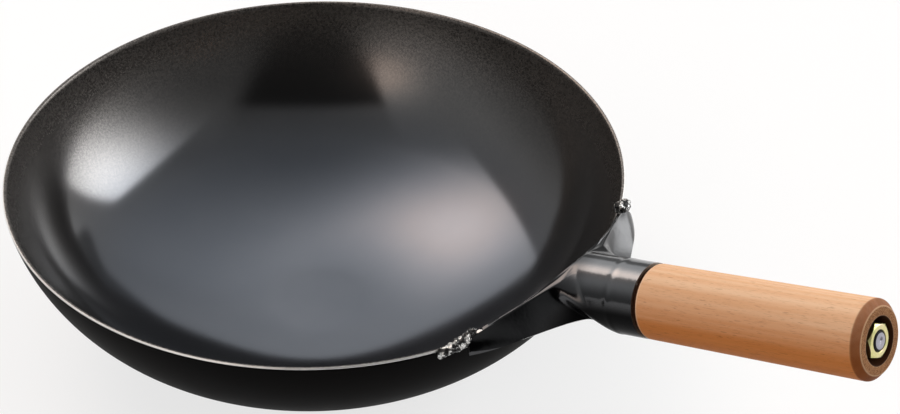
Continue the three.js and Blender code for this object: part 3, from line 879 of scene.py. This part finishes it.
def yellow_zinc():
    zinc = Finish("yellow_zinc", Metallic=1.0)
    cloud = zinc.noise(zinc.place, 260, 3, 0.6)
    fine = zinc.noise(zinc.place, 1400, 3, 0.6)
    tint = zinc.add("ShaderNodeValToRGB", {"stops": [
        (0.30, (0.46, 0.50, 0.22)), (0.45, (0.66, 0.62, 0.27)),
        (0.58, (0.74, 0.66, 0.36)), (0.72, (0.66, 0.48, 0.36)),
    ]}, {"Fac": cloud})
    across, up = zinc.parts(on_handle_line(zinc))[1:]
    from_line = zinc.maths("SQRT", across * across + up * up)
    # Painted shade: the nut's bore and countersink are painted near black.
    thread_shade = 1 - zinc.rise(from_line, NUT_BORE + 0.0002, NUT_BORE + 0.0006)
    zinc.vary("Base Color", zinc.mixed(thread_shade * 0.95, tint, (0.020, 0.017, 0.010)))
    zinc.vary("Roughness", 0.24 + fine * 0.16)
    zinc.raise_by(fine, 0.00005)
    return zinc


def make_nut():
    def profile(angle):
        corner, slope = hexagon(angle)
        sunk = NUT_BORE + COUNTERSINK
        return eased([
            (NUT_START + COUNTERSINK, NUT_BORE, 0), (NUT_START, sunk, 0.0001), (NUT_START, HEX_FACE, 0.0001),
            (NUT_START + slope, corner, 0.0001), (GRIP_END - slope, corner, 0.0001), (GRIP_END, HEX_FACE, 0.0001),
            (GRIP_END, sunk, 0.0001), (GRIP_END - COUNTERSINK, NUT_BORE, 0),
        ])

    return strung("hex_nut_plated", profile, 96, yellow_zinc())


nut = make_nut()
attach(nut, "nut")
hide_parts("hex_nut")

# Studio: a pale floor in a tent of white cloth, lit through its walls and by a soft lamp in front of the handle. The
# tent is open towards the camera, so the pan mirrors a dark doorway there. Places on the tent and its glows (across,
# up, spread) are on a map of the sky: straight up in the middle, the horizon at the edge, up is away from the camera.
CAMERA_TURN = math.radians(37.4)
CAMERA_TILT = math.radians(53.134)
CAMERA_PLACE = Vector((0.6321, -0.7299, 0.7766))
CAMERA_LENS, SENSOR_WIDTH = 109.51, 36
BACK_GLOW = (-0.30, 0.34, 0.20)
SIDE_GLOW = (-0.27, -0.55, 0.17)
RIGHT_GLOW = (0.64, 0.25, 0.25)
LOW_GLOW = (0.62, 0.74, 0.11)
TENT_STRENGTH = 1.5
NEAR_LAMP_PLACE = (0.35, -1.35, 0.70)
NEAR_LAMP_TILT, NEAR_LAMP_TURN = math.radians(66), math.radians(6)
NEAR_LAMP_WIDTH, NEAR_LAMP_WATTS = 1.0, 3.2
FLOOR_REACH, FLOOR_DROP = 12, 2e-4
LOOK = Vector((-math.sin(CAMERA_TURN), math.cos(CAMERA_TURN), 0))
RIGHT = Vector((math.cos(CAMERA_TURN), math.sin(CAMERA_TURN), 0))


def make_tent():
    world = bpy.data.worlds.new("cloth_tent")
    world.use_nodes = True
    bpy.context.scene.world = world
    tent = Nodes(world.node_tree)
    way = tent.add("ShaderNodeTexCoord", output="Generated")
    away, aside = (
        tent.add("ShaderNodeVectorMath", {"operation": "DOT_PRODUCT"}, {0: way, 1: axis}, "Value")
        for axis in (LOOK, RIGHT)
    )
    level = tent.maths("SQRT", away * away + aside * aside + 1e-6)
    from_top = tent.maths("ARCCOSINE", tent.parts(way)[2]) / (math.pi / 2)
    x, y = aside / level * from_top, away / level * from_top

    def glow(at_x, at_y, spread):
        return tent.maths("EXPONENT", ((x - at_x) ** 2 + (y - at_y) ** 2) / -(spread ** 2))

    back_wall = 0.70 * tent.rise(y, -0.05, 0.50) * (1 - 0.62 * tent.rise(x, -0.05, 0.50))
    back_wall = back_wall * (1 - 0.18 * tent.rise(y, 0.50, 0.62))
    back_lamp, side_lamp = glow(*BACK_GLOW), glow(*SIDE_GLOW)
    back_wall = (back_wall + 2.3 * back_lamp) * tent.rise(x, -0.485, -0.455)
    right_wall = 4.7 * glow(*RIGHT_GLOW) * tent.rise(x - 0.22 * y, 0.415, 0.455)
    right_wall = right_wall * (1 - tent.rise(y - 0.55 * x, 0.015, 0.09))
    strip = side_lamp + 2.2 * glow(*LOW_GLOW)
    opening = tent.rise(x, -0.262, -0.236) * (1 - tent.rise(x, 0.25, 0.36))
    doorway = opening * (1 - tent.rise(y, -0.38, -0.27))
    porch = opening * (1 - tent.rise(y, -0.34, 0.02))
    dim_side = tent.rise(x, 0.05, 0.35) * (1 - tent.rise(y, -0.50, -0.10))
    inner_left = tent.rise(x, -0.90, -0.60)
    left_wall = 0.12 * (1 - tent.rise(x, -0.6, 0.1)) * inner_left - 0.08 * (1 - inner_left)
    light = 0.26 + left_wall - 0.12 * dim_side + back_wall + right_wall + strip
    low_back = tent.rise(from_top + 0.08 * tent.rise(x, -0.1, 0.3), 0.81, 0.845) * tent.rise(y, 0.52, 0.58)
    low_back = low_back * (1 - tent.rise(x, 0.53, 0.58))
    light = light * (1 - 0.94 * doorway) * (1 - 0.35 * porch) * (1 - 0.75 * low_back)
    background = world.node_tree.nodes["Background"]
    background.inputs["Strength"].default_value = TENT_STRENGTH
    warm = tent.within(1.3 * (back_lamp + side_lamp))
    colour = tent.joined(light * (1 + 0.20 * warm), light, light * (1 - 0.12 * warm))
    world.node_tree.links.new(colour.socket, background.inputs["Color"])


def make_floor():
    cloth = Finish("pale_floor", Base_Color=(0.25, 0.25, 0.25, 1), Roughness=1.0, Specular_IOR_Level=0.0)
    rays = cloth.add("ShaderNodeLightPath", output=("Is Camera Ray", "Is Glossy Ray", "Is Transmission Ray"))
    seen = cloth.within(rays[0] + rays[1] + rays[2])
    cloth.shader.inputs["Emission Strength"].default_value = 1.0
    cloth.vary("Emission Color", cloth.mixed(seen, (0, 0, 0), (0.73, 0.73, 0.73)))
    corners = [(FLOOR_REACH * x, FLOOR_REACH * y, -FLOOR_DROP) for x, y in ((-1, -1), (1, -1), (1, 1), (-1, 1))]
    return new_piece("floor", corners, [[0, 1, 2, 3]], cloth)


def make_near_lamp():
    lamp = bpy.data.lights.new("near_lamp", "AREA")
    lamp.shape = "DISK"
    lamp.size = NEAR_LAMP_WIDTH
    lamp.energy = NEAR_LAMP_WATTS
    piece = bpy.data.objects.new("near_lamp", lamp)
    piece.location = NEAR_LAMP_PLACE
    piece.rotation_euler = (NEAR_LAMP_TILT, 0, NEAR_LAMP_TURN)
    piece.visible_glossy = False
    bpy.context.collection.objects.link(piece)
    return piece


make_tent()
make_floor()
make_near_lamp()

camera_data = bpy.data.cameras.new("camera")
camera_data.sensor_width = SENSOR_WIDTH
camera_data.lens = CAMERA_LENS
camera = bpy.data.objects.new("camera", camera_data)
camera.location = CAMERA_PLACE
camera.rotation_euler = (CAMERA_TILT, 0, CAMERA_TURN)
bpy.context.collection.objects.link(camera)
bpy.context.scene.camera = camera
bpy.context.scene.view_settings.view_transform = "Standard"
